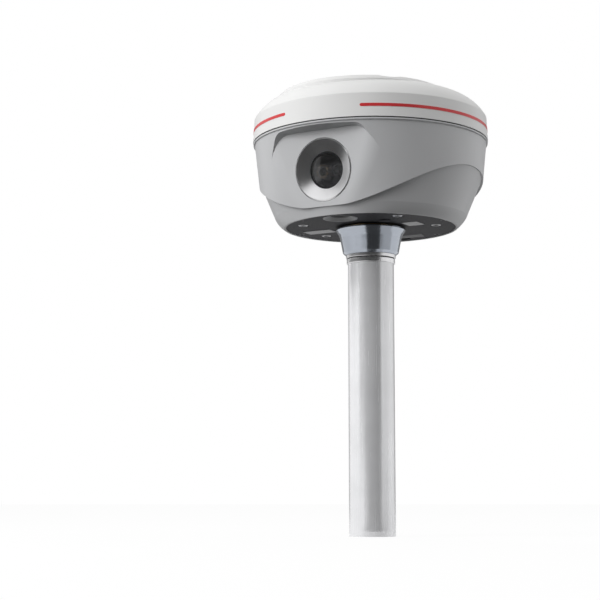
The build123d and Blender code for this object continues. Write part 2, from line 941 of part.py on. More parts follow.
with BuildPart() as optics_bracket:
    with BuildSketch(front.offset(bracket_back)):
        with Locations((0, bracket_top)):
            Rectangle(2 * bracket_half, lens_h + bracket_top, align=(Align.CENTER, Align.MAX))
        with Locations((-optics_half, 0)):
            Circle(laser_r + bond, mode=Mode.SUBTRACT)
        with Locations((optics_half, 0)):
            Circle(camera_r + bond, mode=Mode.SUBTRACT)
        with Locations((0, plate_top + down_body_h + bracket_room - lens_z)):
            Rectangle(
                down_body + 2 * bracket_room,
                lens_h,
                align=(Align.CENTER, Align.MAX),
                mode=Mode.SUBTRACT,
            )
    extrude(amount=bracket_t)
    split(bisect_by=Plane.XY.offset(plate_top), keep=Keep.TOP)
    with BuildSketch(Plane.XY.offset(plate_top)):
        with Locations((-bracket_x, bracket_y), (bracket_x, bracket_y)):
            Rectangle(bracket_foot_w, bracket_foot_y, align=(Align.CENTER, Align.MIN))
    extrude(amount=bracket_t)
    with BuildSketch(Plane.XY.offset(plate_top)):
        with Locations(*bracket_points):
            Circle(small_shank_r + screw_play)
    extrude(amount=bracket_t, mode=Mode.SUBTRACT)
save(optics_bracket, "optics_bracket")

bracket_screws = screws(
    bracket_points,
    plate_top + bracket_t + small_head_h,
    small_head_r,
    -small_head_h,
    small_shank_r,
    -bracket_t - small_bite + run,
)
save(bracket_screws, "bracket_screws")

# Camera that looks down through the base plate
glass_z = plate_top - down_glass_t
with BuildPart() as down_camera_bezel:
    with BuildSketch(Plane.XZ.offset(-down_y)):
        Polygon(
            (down_mouth_r, plate_z - down_proud),
            (down_r, plate_z - down_proud),
            (down_r, plate_top),
            (down_glass_r + bond, plate_top),
            (down_glass_r + bond, glass_z),
            (down_throat_r, glass_z),
            (down_throat_r, plate_z - down_proud + down_cone),
            align=None,
        )
    revolve(axis=Axis((0, down_y, 0), (0, 0, 1)))
save(down_camera_bezel, "down_camera_bezel")

with BuildPart() as down_camera_window:
    with BuildSketch(Plane.XY.offset(glass_z)):
        with Locations((0, down_y)):
            Circle(down_glass_r)
    extrude(amount=down_glass_t)
save(down_camera_window, "down_camera_window")

with BuildPart() as down_camera:
    with BuildSketch(Plane.XY.offset(plate_top)):
        with Locations((0, down_y)):
            RectangleRounded(down_body, down_body, can_round)
    extrude(amount=down_body_h)
    with BuildSketch(Plane.XY.offset(plate_top)):
        with Locations((0, down_y)):
            Circle(down_lens_r + bond)
    extrude(amount=down_lens_h, mode=Mode.SUBTRACT)
save(down_camera, "down_camera")

with BuildPart() as down_camera_lens:
    with BuildSketch(Plane.XY.offset(plate_top)):
        with Locations((0, down_y)):
            Circle(down_lens_r)
    extrude(amount=down_lens_h)
save(down_camera_lens, "down_camera_lens")

# Thread insert of the head, its nut and the washer under it
with BuildPart() as thread_insert:
    with BuildSketch(Plane.XY.offset(insert_z)):
        Circle(insert_flange_r)
    extrude(amount=insert_proud)
    with BuildSketch(Plane.XY.offset(plate_z)):
        Circle(insert_r)
    extrude(amount=insert_len)
    with BuildSketch(Plane.XY.offset(insert_z)):
        Circle(thread_bore_r)
    extrude(amount=insert_bore, mode=Mode.SUBTRACT)
save(thread_insert, "thread_insert")
insert_nut = ring(insert_nut_r, insert_r + bond, plate_top, insert_nut_h)
save(insert_nut, "insert_nut")
pole_washer = ring(washer_r, thread_r + run, collar_top, washer_t)
save(pole_washer, "pole_washer")

# Port cover with its hinge pin, and the sockets behind it
with BuildPart() as port_cover:
    with BuildSketch(Plane.XY.offset(plate_z)):
        port_outline(run)
        with Locations((0, hinge_y)):
            Rectangle(port_w, hinge_y, align=(Align.CENTER, Align.MAX), mode=Mode.SUBTRACT)
    extrude(amount=port_t)
    with BuildSketch(Plane.YZ):
        with Locations((hinge_y, hinge_z)):
            Circle(hinge_r)
    extrude(amount=port_w / 2 - run, both=True)
    with BuildSketch(Plane.YZ):
        with Locations((hinge_y, hinge_z)):
            Circle(hinge_pin_r + bond)
    extrude(amount=port_w / 2, both=True, mode=Mode.SUBTRACT)
save(port_cover, "port_cover")

with BuildPart() as port_hinge_pin:
    with BuildSketch(Plane.YZ):
        with Locations((hinge_y, hinge_z)):
            Circle(hinge_pin_r)
    extrude(amount=port_w / 2 + hinge_pin_bite - run, both=True)
save(port_hinge_pin, "port_hinge_pin")

with BuildPart() as port_board:
    with BuildSketch(Plane.XY.offset(port_board_z)):
        with Locations((0, socket_y)):
            Rectangle(port_board_w, port_board_d)
    extrude(amount=port_board_t)
save(port_board, "port_board")


def port_socket(x, width, depth, tongue):
    """Socket shell under the port board, open downwards, with its contact tongue."""
    mouth = plate_z + port_pocket
    height = port_board_z - mouth
    with BuildPart() as body:
        with BuildSketch(Plane.XY.offset(mouth)):
            with Locations((x, socket_y)):
                RectangleRounded(width, depth, depth / 2 - bond)
        extrude(amount=height)
        with BuildSketch(Plane.XY.offset(mouth)):
            with Locations((x, socket_y)):
                inner = depth - 2 * socket_wall
                RectangleRounded(width - 2 * socket_wall, inner, inner / 2 - bond)
        extrude(amount=socket_cup, mode=Mode.SUBTRACT)
        if tongue:
            with BuildSketch(Plane.XY.offset(mouth + tongue_gap)):
                with Locations((x, socket_y)):
                    Rectangle(width - depth, tongue_t)
            extrude(amount=height - tongue_gap)
    return body


usb_socket = port_socket(usb_x, usb_w, usb_d, True)
save(usb_socket, "usb_socket")
card_socket = port_socket(card_x, card_w, card_d, False)
save(card_socket, "card_socket")

# Control panel on the rear wall
with BuildPart() as control_panel:
    with BuildSketch(rear.offset(-panel_pocket)):
        RectangleRounded(panel_w - 2 * seat_gap, panel_d - 2 * seat_gap, panel_corner - seat_gap)
        with Locations((button_x, 0)):
            Circle(button_r + run, mode=Mode.SUBTRACT)
        with Locations(*light_points):
            Circle(light_r + bond, mode=Mode.SUBTRACT)
    extrude(amount=panel_t)
save(control_panel, "control_panel")

with BuildPart() as power_button:
    with BuildSketch(rear.offset(button_foot)):
        with Locations((button_x, 0)):
            Circle(button_r)
    extrude(amount=button_cap)
    cap_edge = power_button.faces().sort_by(Axis(rear.origin, rear.z_dir))[-1].edges()
    fillet(cap_edge, radius=button_cap / 3)
    with BuildSketch(rear.offset(button_foot)):
        with Locations((button_x, 0)):
            Circle(button_stem_r)
    extrude(amount=stem_end - button_foot)
save(power_button, "power_button")

with BuildPart() as button_seal:
    with BuildSketch(rear.offset(-panel_pocket - button_seal_t)):
        with Locations((button_x, 0)):
            Circle(button_seal_r)
            Circle(button_stem_r + bond, mode=Mode.SUBTRACT)
    extrude(amount=button_seal_t)
save(button_seal, "button_seal")

with BuildPart() as control_board:
    with BuildSketch(rear.offset(control_z)):
        Rectangle(panel_w - 2 * seat_gap, panel_d - 2 * control_margin)
        with Locations(*post_points):
            Circle(small_shank_r + screw_play, mode=Mode.SUBTRACT)
    extrude(amount=-control_t)
save(control_board, "control_board")

with BuildPart() as control_screws:
    with BuildSketch(rear.offset(control_z - control_t - small_head_h)):
        with Locations(*post_points):
            Circle(small_head_r)
    extrude(amount=small_head_h)
    with BuildSketch(rear.offset(control_z - control_t)):
        with Locations(*post_points):
            Circle(small_shank_r)
    extrude(amount=control_t + small_bite - run)
save(control_screws, "control_screws")

with BuildPart() as button_switch:
    with BuildSketch(rear.offset(control_z)):
        with Locations((button_x, 0)):
            RectangleRounded(switch_side, switch_side, can_round)
    extrude(amount=switch_h)
save(button_switch, "button_switch")

with BuildPart() as status_lights:
    with BuildSketch(rear.offset(control_z)):
        with Locations(*light_points):
            Circle(light_r)
    extrude(amount=panel_top - control_z)
save(status_lights, "status_lights")

# Small pieces on the base plate
with BuildPart() as beeper:
    with BuildSketch(Plane.XY.offset(plate_top)):
        with Locations((beeper_x, beeper_y)):
            Circle(beeper_r)
    extrude(amount=beeper_h)
save(beeper, "beeper")

with BuildPart() as vent_plug:
    with BuildSketch(Plane.XY.offset(plate_z)):
        with Locations((vent_x, vent_y)):
            Circle(vent_head_r)
    extrude(amount=-vent_head_t)
    with BuildSketch(Plane.XY.offset(plate_z)):
        with Locations((vent_x, vent_y)):
            Circle(vent_r)
    extrude(amount=plate_t + vent_reach)
save(vent_plug, "vent_plug")

with BuildPart() as label_plates:
    with BuildSketch(Plane.XY.offset(plate_z)):
        with Locations(label_left):
            Rectangle(*label_left_size)
        with Locations(label_right):
            Rectangle(*label_right_size)
    extrude(amount=-label_t)
save(label_plates, "label_plates")

# Pole: collar with its stud, two polished rings, tube and lower socket
with BuildPart() as pole_adapter:
    spigot_r = pole_bore_r - bond
    flange_z = collar_top - collar_flange_t
    neck = (collar_neck_r, flange_z - collar_flare_h)
    with BuildSketch(Plane.XZ) as section:
        Polygon(
            (0, collar_z - collar_spigot),
            (spigot_r, collar_z - collar_spigot),
            (spigot_r, collar_z),
            (collar_foot_r, collar_z),
            (collar_low_r, collar_z + collar_foot_h),
            neck,
            (collar_flange_r, flange_z),
            (collar_flange_r, collar_top),
            (0, collar_top),
            align=None,
        )
        fillet(section.vertices().sort_by_distance(neck)[0], radius=collar_flare_round)
    revolve(axis=Axis.Z)
    with BuildSketch(Plane.XY.offset(collar_top)):
        Circle(thread_r + bond)
    extrude(amount=-stud_seat, mode=Mode.SUBTRACT)
save(pole_adapter, "pole_adapter")

with BuildPart() as adapter_stud:
    with BuildSketch(Plane.XY.offset(collar_top - stud_seat)):
        Circle(thread_r)
    extrude(amount=stud_seat + stud_reach)
    chamfer(adapter_stud.faces().sort_by(Axis.Z)[-1].edges(), length=stud_tip_chamfer)
save(adapter_stud, "adapter_stud")


def pole_ring(wall_t, top, height, round_r):
    """Ring pressed on the tube, with its outer edges rounded."""
    with BuildPart() as body:
        add(ring(pole_r + wall_t, pole_r + bond, top - height, height).part)
        rim = body.edges().filter_by(GeomType.CIRCLE).group_by(SortBy.RADIUS)[-1]
        fillet(rim, radius=round_r)
    return body


seal_top = collar_z - upper_ring_h
lower_top = seal_top - ring_seal_h
upper_ring = pole_ring(upper_ring_wall, collar_z, upper_ring_h, ring_round)
save(upper_ring, "upper_ring")
ring_seal = ring(pole_r + ring_seal_wall, pole_r + bond, lower_top, ring_seal_h)
save(ring_seal, "ring_seal")
lower_ring = pole_ring(lower_ring_wall, lower_top, lower_ring_h, ring_round)
save(lower_ring, "lower_ring")
pole_tube = ring(pole_r, pole_bore_r, tube_z, tube_len)
save(pole_tube, "pole_tube")

with BuildPart() as tube_socket:
    with BuildSketch(Plane.XY):
        Circle(pole_r)
    extrude(amount=socket_flange)
    with BuildSketch(Plane.XY):
        Circle(pole_bore_r - bond)
    extrude(amount=socket_len)
    with BuildSketch(Plane.XY):
        Circle(thread_bore_r)
    extrude(amount=socket_depth, mode=Mode.SUBTRACT)
save(tube_socket, "tube_socket")
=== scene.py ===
import json
from math import atan2, cos, radians, sin

import bmesh
import bpy
from mathutils import Matrix, Vector


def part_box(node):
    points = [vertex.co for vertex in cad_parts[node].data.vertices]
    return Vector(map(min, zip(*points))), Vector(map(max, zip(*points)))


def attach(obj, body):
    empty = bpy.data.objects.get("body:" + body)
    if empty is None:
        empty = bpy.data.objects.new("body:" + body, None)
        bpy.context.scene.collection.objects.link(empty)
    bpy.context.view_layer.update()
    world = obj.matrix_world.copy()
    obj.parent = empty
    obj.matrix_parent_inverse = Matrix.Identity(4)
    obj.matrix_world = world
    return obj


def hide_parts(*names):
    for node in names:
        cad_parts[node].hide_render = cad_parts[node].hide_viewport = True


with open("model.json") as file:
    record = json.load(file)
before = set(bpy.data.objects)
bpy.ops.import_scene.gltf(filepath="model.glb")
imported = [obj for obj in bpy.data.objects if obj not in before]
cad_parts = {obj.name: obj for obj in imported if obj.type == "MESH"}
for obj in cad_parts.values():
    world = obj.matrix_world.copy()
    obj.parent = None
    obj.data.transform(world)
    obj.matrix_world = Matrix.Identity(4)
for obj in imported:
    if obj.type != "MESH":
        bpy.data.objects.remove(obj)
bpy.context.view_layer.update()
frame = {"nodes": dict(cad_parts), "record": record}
nodes = frame["nodes"]
scene = bpy.context.scene
scene.view_settings.view_transform = "Standard"
print("frame:", len(nodes), "solid pieces")

# camera, where the photograph was taken from

viewpoint = {
    "azimuth": 28.0,  # degrees round from the front window
    "distance": 1.0,  # metres from the pole's axis
    "height": 0.023,
    "turnedLeft": 2.663,
    "tippedUp": 7.4,
    "lens": 92.52,
    "sensor": 36.0,
    "nearClip": 0.05,
    "farClip": 60,
}


def compass(azimuth, radius, height):
    return Vector((radius * sin(radians(azimuth)), -radius * cos(radians(azimuth)), height))


def placeCamera(s):
    data = bpy.data.cameras.new("viewpoint")
    data.lens = s["lens"]
    data.sensor_width = s["sensor"]
    data.clip_start, data.clip_end = s["nearClip"], s["farClip"]
    camera = bpy.data.objects.new("viewpoint", data)
    camera.location = compass(s["azimuth"], s["distance"], s["height"])
    camera.rotation_euler = (
        radians(90 + s["tippedUp"]),
        0,
        radians(s["azimuth"] + s["turnedLeft"]),
    )
    scene.collection.objects.link(camera)
    scene.camera = camera


placeCamera(viewpoint)
print("camera set")


def addNode(tree, kind, **settings):
    node = tree.nodes.new("ShaderNode" + kind)
    for key, value in settings.items():
        if key in node.inputs:
            node.inputs[key].default_value = value
        else:
            setattr(node, key, value)
    return node


def startMaterial(name, colour, metallic, roughness):
    material = bpy.data.materials.new(name)
    material.use_nodes = True
    tree = material.node_tree
    shader = tree.nodes["Principled BSDF"]
    shader.inputs["Base Color"].default_value = (*colour, 1)
    shader.inputs["Metallic"].default_value = metallic
    shader.inputs["Roughness"].default_value = roughness
    return material, tree, shader


def placed(tree, stretch=(1, 1, 1), centre=(0, 0, 0), turn=(0, 0, 0)):
    coords = addNode(tree, "TexCoord")
    place = addNode(
        tree, "Mapping", vector_type="TEXTURE", Location=centre, Rotation=turn, Scale=stretch
    )
    tree.links.new(coords.outputs["Object"], place.inputs["Vector"])
    return place.outputs["Vector"]


def noise(tree, coords, scale, detail):
    texture = addNode(tree, "TexNoise", Scale=scale, Detail=detail)
    tree.links.new(coords, texture.inputs["Vector"])
    return texture.outputs["Fac"]


def spread(tree, factor, low, high, fromLow=0.3, fromHigh=0.7):
    reach = addNode(tree, "MapRange")
    tree.links.new(factor, reach.inputs["Value"])
    limits = {"From Min": fromLow, "From Max": fromHigh, "To Min": low, "To Max": high}
    for socket, value in limits.items():
        reach.inputs[socket].default_value = value
    return reach.outputs["Result"]


def tinted(tree, factor, first, second):
    mix = addNode(tree, "Mix", data_type="RGBA")
    tree.links.new(factor, mix.inputs["Factor"])
    mix.inputs[6].default_value = (*first, 1)  # the node's colour sockets
    mix.inputs[7].default_value = (*second, 1)
    return mix.outputs[2]


def shade(colour, amount):
    return [min(1.0, channel * amount) for channel in colour]


def varyColour(tree, shader, factor, colour, darkest, lightest):
    share = spread(tree, factor, 0, 1)
    mixed = tinted(tree, share, shade(colour, darkest), shade(colour, lightest))
    tree.links.new(mixed, shader.inputs["Base Color"])


def varyRoughness(tree, shader, factor, roughness, least, most):
    varied = spread(tree, factor, roughness * least, roughness * most)
    tree.links.new(varied, shader.inputs["Roughness"])


def bumped(tree, shader, height, depth):
    bump = addNode(tree, "Bump", Strength=1.0, Distance=depth)
    tree.links.new(height, bump.inputs["Height"])
    tree.links.new(bump.outputs["Normal"], shader.inputs["Normal"])


finishes = {}

# grain is the width of the surface texture and depth its height, in metres
mouldings = {
    "radome_pale": {
        "colour": (0.75, 0.75, 0.745),
        "roughness": 0.42,
        "grain": 0.0006,
        "depth": 0.00001,
    },
    "shell_grey": {
        "colour": (0.54, 0.545, 0.555),
        "roughness": 0.4,
        "grain": 0.0005,
        "depth": 0.000014,
    },
    "base_dark": {
        "colour": (0.04, 0.04, 0.044),
        "roughness": 0.6,
        "gloss": 0.1,
        "grain": 0.0008,
        "depth": 0.00003,
    },
    "cover_grey": {
        "colour": (0.12, 0.12, 0.125),
        "roughness": 0.6,
        "grain": 0.0007,
        "depth": 0.00003,
    },
    "camera_surround": {
        "colour": (0.3, 0.3, 0.305),
        "roughness": 0.4,
        "grain": 0.0005,
        "depth": 0.00001,
    },
    "optics_black": {
        "colour": (0.015, 0.015, 0.016),
        "roughness": 0.6,
        "grain": 0.0006,
        "depth": 0.00002,
    },
    "panel_black": {
        "colour": (0.02, 0.02, 0.022),
        "roughness": 0.14,
        "grain": 0.003,
        "depth": 0.000004,
    },
    "button_grey": {
        "colour": (0.3, 0.3, 0.31),
        "roughness": 0.5,
        "grain": 0.0005,
        "depth": 0.00002,
    },
    "label_pale": {
        "colour": (0.54, 0.54, 0.55),
        "roughness": 0.35,
        "grain": 0.0015,
        "depth": 0.000006,
    },
    "battery_blue": {
        "colour": (0.05, 0.08, 0.24),
        "roughness": 0.25,
        "grain": 0.006,
        "depth": 0.00008,
    },
    "rubber_dark": {
        "colour": (0.02, 0.02, 0.02),
        "roughness": 0.75,
        "grain": 0.0007,
        "depth": 0.00004,
    },
    "antenna_ceramic": {
        "colour": (0.68, 0.64, 0.55),
        "roughness": 0.3,
        "grain": 0.0009,
        "depth": 0.00001,
    },
}


def moulding(name, s):
    material, tree, shader = startMaterial(name, s["colour"], 0.0, s["roughness"])
    shader.inputs["Specular IOR Level"].default_value = s.get("gloss", 0.5)
    coords = placed(tree)
    clouds = noise(tree, coords, scale=22, detail=2)
    varyColour(tree, shader, clouds, s["colour"], darkest=0.97, lightest=1.03)
    grain = noise(tree, coords, scale=1 / s["grain"], detail=2)
    varyRoughness(tree, shader, grain, s["roughness"], least=0.88, most=1.12)
    bumped(tree, shader, grain, s["depth"])
    return material


# marks are the width of the fine scratches, stretch how long they run along x, y and z
metals = {
    "collar_metal": {
        "colour": (0.4, 0.43, 0.48),
        "roughness": 0.16,
        "marks": 0.0004,
        "stretch": (40, 40, 1),
    },
    "ring_polished": {
        "colour": (0.74, 0.74, 0.75),
        "roughness": 0.3,
        "marks": 0.0003,
        "stretch": (60, 60, 1),
    },
    "pole_metal": {
        "colour": (0.87, 0.873, 0.89),
        "bare": 0.4,
        "roughness": 0.22,
        "marks": 0.0005,
        "stretch": (1, 1, 80),
    },
    "screw_steel": {
        "colour": (0.34, 0.34, 0.35),
        "roughness": 0.34,
        "marks": 0.0003,
        "stretch": (1, 6, 1),
    },
    "can_metal": {
        "colour": (0.62, 0.62, 0.6),
        "roughness": 0.32,
        "marks": 0.0006,
        "stretch": (12, 1, 1),
    },
    "module_brass": {
        "colour": (0.68, 0.5, 0.24),
        "roughness": 0.28,
        "marks": 0.0004,
        "stretch": (20, 20, 1),
    },
    "spacer_metal": {
        "colour": (0.66, 0.66, 0.67),
        "roughness": 0.34,
        "marks": 0.0005,
        "stretch": (20, 20, 1),
    },
    "metal_dark": {
        "colour": (0.06, 0.06, 0.065),
        "roughness": 0.4,
        "marks": 0.0005,
        "stretch": (10, 1, 10),
    },
}
markDepth = 0.004  # share of the marks' width


def metal(name, s):
    material, tree, shader = startMaterial(name, s["colour"], s.get("bare", 1.0), s["roughness"])
    along = placed(tree, [s["marks"] * run for run in s["stretch"]])
    marks = noise(tree, along, scale=1, detail=4)
    varyRoughness(tree, shader, marks, s["roughness"], least=0.75, most=1.3)
    smudges = noise(tree, placed(tree), scale=45, detail=3)
    varyColour(tree, shader, smudges, s["colour"], darkest=0.94, lightest=1.04)
    bumped(tree, shader, marks, s["marks"] * markDepth)
    return material


bezelMetal = {
    "colour": (0.86, 0.86, 0.87),
    "roughness": 0.3,
    "ring": 0.0006,  # spacing of the turning marks
    "centre": (0, -0.0628, 0.228),
    "lean": 5.5,
}


def turnedBezel(name, s):
    material, tree, shader = startMaterial(name, s["colour"], 1.0, s["roughness"])
    across = placed(tree, centre=s["centre"], turn=(radians(s["lean"]), 0, 0))
    flat = addNode(tree, "VectorMath", operation="MULTIPLY")
    flat.inputs[1].default_value = (1, 0, 1)
    radius = addNode(tree, "VectorMath", operation="LENGTH")
    tree.links.new(across, flat.inputs[0])
    tree.links.new(flat.outputs["Vector"], radius.inputs[0])
    rings = noise(tree, radius.outputs["Value"], scale=1 / s["ring"], detail=2)
    varyRoughness(tree, shader, rings, s["roughness"], least=0.88, most=1.14)
    varyColour(tree, shader, rings, s["colour"], darkest=0.97, lightest=1.03)
    return material


glasses = {
    "window_glass": {"colour": (0.09, 0.09, 0.095), "clear": 1.0, "gloss": 0.4, "film": 0.0},
    "lens_glass": {"colour": (0.01, 0.012, 0.02), "clear": 0.0, "gloss": 0.5, "film": 420.0},
    "light_clear": {"colour": (0.75, 0.78, 0.75), "clear": 0.6, "gloss": 0.5, "film": 0.0},
}
glassSurface = {
    "roughness": 0.03,
    "filmIndex": 1.38,
    "wipe": (0.02, 0.004, 0.004),  # metres that a wiping mark runs along x, y and z
    "smoothest": 0.01,
    "roughest": 0.06,
}


def glass(name, s, surface):
    material, tree, shader = startMaterial(name, s["colour"], 0.0, surface["roughness"])
    shader.inputs["Transmission Weight"].default_value = s["clear"]
    shader.inputs["Specular IOR Level"].default_value = s["gloss"]
    shader.inputs["Thin Film Thickness"].default_value = s["film"]
    shader.inputs["Thin Film IOR"].default_value = surface["filmIndex"]
    wiped = noise(tree, placed(tree, surface["wipe"]), scale=1, detail=3)
    varied = spread(tree, wiped, surface["smoothest"], surface["roughest"])
    tree.links.new(varied, shader.inputs["Roughness"])
    return material


boardGreen = {
    "resist": (0.02, 0.13, 0.05),
    "trace": (0.04, 0.22, 0.08),
    "roughness": 0.3,
    "pitch": 0.0035,
    "traceShare": 0.05,  # of the pitch
    "shift": 0.35,
    "raised": 0.00003,
}


def circuitBoard(name, s):
    material, tree, shader = startMaterial(name, s["resist"], 0.0, s["roughness"])
    tracks = addNode(tree, "TexBrick", Scale=1 / s["pitch"], offset=s["shift"])
    tree.links.new(placed(tree), tracks.inputs["Vector"])
    tracks.inputs["Mortar Size"].default_value = s["traceShare"]
    for socket, paint in {"Color1": "resist", "Color2": "resist", "Mortar": "trace"}.items():
        tracks.inputs[socket].default_value = (*s[paint], 1)
    tree.links.new(tracks.outputs["Color"], shader.inputs["Base Color"])
    bumped(tree, shader, tracks.outputs["Fac"], s["raised"])
    return material


for slot, settings in mouldings.items():
    finishes[slot] = moulding(slot, settings)
for slot, settings in metals.items():
    finishes[slot] = metal(slot, settings)
for slot, settings in glasses.items():
    finishes[slot] = glass(slot, settings, glassSurface)
finishes["bezel_metal"] = turnedBezel("bezel_metal", bezelMetal)
finishes["board_green"] = circuitBoard("board_green", boardGreen)

for subpart in frame["record"]["subparts"]:
    slots = nodes[subpart["node"]].data.materials
    slots.clear()
    slots.append(finishes[subpart["material_slot"]])
print("finishes:", len(finishes))

creaseAngle = 35  # degrees, sharper edges aren't smoothed
weld = 0.000002  # metres


def newObject(name, mesh, material):
    data = bpy.data.meshes.new(name)
    mesh.to_mesh(data)
    mesh.free()
    data.materials.append(material)
    made = bpy.data.objects.new(name, data)
    scene.collection.objects.link(made)
    return made


def newPiece(name, mesh, material, body):
    bmesh.ops.recalc_face_normals(mesh, faces=mesh.faces)
    piece = newObject(name, mesh, material)
    for face in piece.data.polygons:
        face.use_smooth = True
    piece.data.set_sharp_from_angle(angle=radians(creaseAngle))
    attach(piece, body)
    return piece


def edgeLoop(mesh, points):
    corners = [mesh.verts.new((radius, 0, height)) for radius, height in points]
    for pair in zip(corners, corners[1:]):
        mesh.edges.new(pair)


def spunRound(points, steps):
    mesh = bmesh.new()
    edgeLoop(mesh, points)
    bmesh.ops.spin(
        mesh,
        geom=mesh.verts[:] + mesh.edges[:],
        axis=(0, 0, 1),
        angle=radians(360),
        steps=steps,
        use_merge=True,
    )
    bmesh.ops.remove_doubles(mesh, verts=mesh.verts, dist=weld)
    return mesh


def cornersOf(items):
    return [item for item in items if isinstance(item, bmesh.types.BMVert)]


def faceOf(items):
    return next(item for item in items if isinstance(item, bmesh.types.BMFace))


stripe = {
    "height": 0.2637,
    "tall": 0.002,
    "radius": 0.07706,
    "lean": -0.0467,  # how much the band draws in as it rises
    "proud": 0.00012,
    "sunk": 0.0004,
    "start": 24.0,  # it runs round the back and leaves the front bare
    "finish": 343.5,
    "steps": 240,
    "tipSteps": 5,
    "tipShare": 0.12,  # height left at the very tip
    "colour": (0.62, 0.03, 0.035),
    "roughness": 0.35,
    "depth": 0.000006,
}


def makeStripe(s):
    mesh = bmesh.new()
    ring = []
    for side, out in ((-1, -s["sunk"]), (1, -s["sunk"]), (1, s["proud"]), (-1, s["proud"])):
        rise = side * s["tall"] / 2
        radius = s["radius"] + s["lean"] * rise + out
        ring.append(mesh.verts.new(compass(s["start"], radius, s["height"] + rise)))
    startFace = mesh.faces.new(ring)
    made = bmesh.ops.spin(
        mesh,
        geom=[startFace, *startFace.edges, *ring],
        axis=(0, 0, 1),
        angle=radians(s["finish"] - s["start"]),
        steps=s["steps"],
    )
    lastFace = faceOf(made["geom_last"])
    middle = Matrix.Translation((0, 0, -s["height"]))
    # rounded tips
    for face, way in ((lastFace, 1), (startFace, -1)):
        gone, tall = 0.0, 1.0
        for step in range(1, s["tipSteps"] + 1):
            swing = radians(90 * step / s["tipSteps"])
            along, height = sin(swing) * s["tall"] / 2, max(cos(swing), s["tipShare"])
            grown = bmesh.ops.extrude_face_region(mesh, geom=[face])["geom"]
            corners = cornersOf(grown)
            bmesh.ops.delete(mesh, geom=[face], context="FACES_ONLY")
            face = faceOf(grown)
            turn = Matrix.Rotation(way * (along - gone) / s["radius"], 3, "Z")
            bmesh.ops.rotate(mesh, verts=corners, cent=(0, 0, 0), matrix=turn)
            bmesh.ops.scale(mesh, verts=corners, vec=(1, 1, height / tall), space=middle)
            gone, tall = along, height
    material, tree, shader = startMaterial("stripeRed", s["colour"], 0.0, s["roughness"])
    inkClouds = noise(tree, placed(tree), scale=60, detail=2)
    varyColour(tree, shader, inkClouds, s["colour"], darkest=0.94, lightest=1.05)
    bumped(tree, shader, noise(tree, placed(tree), scale=1800, detail=2), s["depth"])
    newPiece("radomeStripe", mesh, material, "head")


makeStripe(stripe)

frontWindow = {
    "node": "front_window",
    "slot": "window_glass",
    "lean": 5.5,  # degrees, the window looks slightly down
    "radius": 0.0125,
    "thick": 0.002,
    "dome": 0.0109,  # the part inside the rim bulges forwards
    "bulge": 0.0008,
    "domeSteps": 10,
    "rimOuter": 0.0117,
    "rimTall": 0.00045,
    "rimEdge": 0.0002,
    "steps": 72,
}


def spunOnWindow(s, points):
    low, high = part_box(s["node"])
    mesh = spunRound(points, s["steps"])
    facing = Matrix.Rotation(radians(90 + s["lean"]), 3, "X")
    bmesh.ops.rotate(mesh, verts=mesh.verts, matrix=facing)
    bmesh.ops.translate(mesh, verts=mesh.verts, vec=(Vector(low) + Vector(high)) / 2)
    return mesh


def makeFrontWindow(s):
    half = s["thick"] / 2
    glassLine = [(0, -half), (s["radius"], -half), (s["radius"], half)]
    for step in range(s["domeSteps"], -1, -1):
        share = step / s["domeSteps"]
        glassLine.append((share * s["dome"], half + s["bulge"] * (1 - share * share)))
    domed = spunOnWindow(s, glassLine)
    pane = newPiece("windowPane", domed, finishes[s["slot"]], "head")
    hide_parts(s["node"])
    top, inner = half + s["rimTall"], s["dome"]
    rimLine = [
        (inner, half),
        (inner, top - s["rimEdge"]),
        (inner + s["rimEdge"], top),
        (s["rimOuter"], top),
        (s["rimOuter"], half),
        (inner, half),
    ]
    newPiece("windowRim", spunOnWindow(s, rimLine), finishes["panel_black"], "head")


makeFrontWindow(frontWindow)

# a thin black sheet over the camera bezel's throat and lower cone: painted shade that widens the
# camera's dark opening
cameraPaintedShade = {
    "node": "down_camera_bezel",
    "mouth": 0.0103,
    "throat": 0.0052,
    "deep": 0.0026,  # the cone between the two
    "reach": 0.0066,  # how far the painted shade comes down the cone
    "above": 0.001,  # it stops at the glass
    "thick": 0.00012,
    "sunk": 0.00005,
    "steps": 64,
}


def makeCameraPaintedShade(s):
    low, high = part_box(s["node"])
    start = s["deep"] * (s["mouth"] - s["reach"]) / (s["mouth"] - s["throat"])
    end = high[2] - low[2] - s["above"]
    outer, inner = s["throat"] + s["sunk"], s["throat"] - s["thick"]
    outline = [
        (s["reach"], start + s["sunk"]),
        (outer, s["deep"] + s["sunk"]),
        (outer, end),
        (inner, end),
        (inner, s["deep"] - s["sunk"]),
        (s["reach"] - s["sunk"], start - s["thick"]),
        (s["reach"], start + s["sunk"]),
    ]
    mesh = spunRound(outline, s["steps"])
    middle = (Vector(low) + Vector(high)) / 2
    bmesh.ops.translate(mesh, verts=mesh.verts, vec=(middle.x, middle.y, low[2]))
    # the black sheet is painted shade inside the camera's recess
    newPiece("cameraPaintedShade", mesh, finishes["optics_black"], "head")


makeCameraPaintedShade(cameraPaintedShade)

# points are the screws' places, degrees round from the front and metres from the axis
hexScrews = {
    "tieScrewHeads": {
        "node": "tie_screws",
        "slot": "screw_steel",
        "points": [(50, 0.045), (-50, 0.045), (108, 0.0432), (-108, 0.0432)],
        "head": 0.0035,
        "headTall": 0.0022,
        "shank": 0.002,
        "edge": 0.0005,
        "socket": 0.0021,
        "deep": 0.0014,
        "steps": 36,
    },
    "baseScrewHeads": {
        "node": "base_screws",
        "slot": "metal_dark",
        "points": [(turn, 0.0526) for turn in range(30, 390, 60)],
        "head": 0.0022,
        "headTall": 0.0016,
        "shank": 0.00125,
        "edge": 0.0003,
        "socket": 0.0013,
        "deep": 0.001,
        "steps": 36,
    },
}


